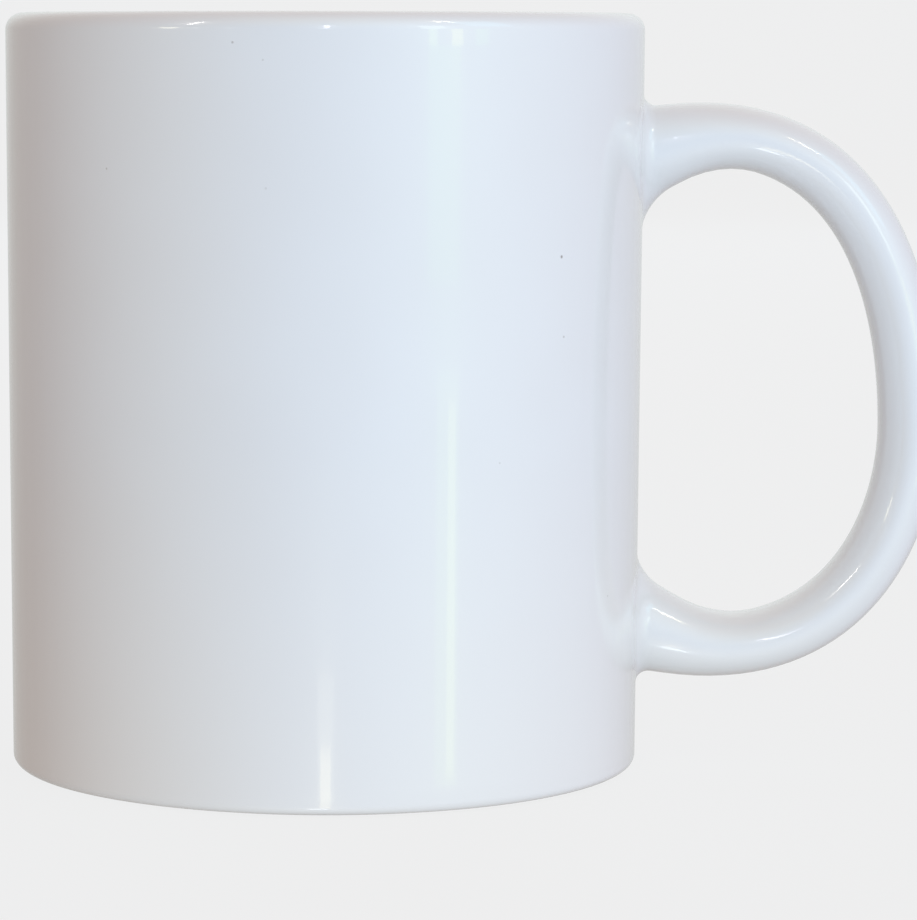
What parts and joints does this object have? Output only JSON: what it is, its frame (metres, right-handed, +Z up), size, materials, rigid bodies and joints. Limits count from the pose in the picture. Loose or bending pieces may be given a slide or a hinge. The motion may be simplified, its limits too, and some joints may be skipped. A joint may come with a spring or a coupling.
{
  "type": "mug",
  "caption": "Plain white glazed ceramic mug with straight sides, a rounded lip, a bare foot ring and a C-shaped loop handle.",
  "frame": {"origin": "on the cup's axis, at the centre of the bare foot ring, in the plane that the mug stands on", "axes": "+Z up along the cup's axis, +X from the axis through the middle of the handle, +Y away from someone who faces the side with the handle on their right"},
  "size_m": [0.1209, 0.082, 0.0972],
  "materials": {
    "bare_clay": "fired stoneware without glaze, off-white, matt and slightly rough, as seen on the foot ring",
    "fired_slip": "slip fired to the same clay, smoothed to a hollow fillet, all under the glaze",
    "coated_glaze": "high-gloss white glaze under a clear print coat 0.02 to 0.04 mm thick, which takes the heat-transfer dye",
    "white_glaze": "high-gloss white glaze with no print coat"
  },
  "bodies": {
    "root": {"cup_body": "bare_clay", "handle": "bare_clay", "upper_slip_joint": "fired_slip", "lower_slip_joint": "fired_slip", "outside_glaze": "coated_glaze", "handle_glaze": "coated_glaze", "inside_glaze": "white_glaze", "base_glaze": "white_glaze"}
  },
  "joints": []
}
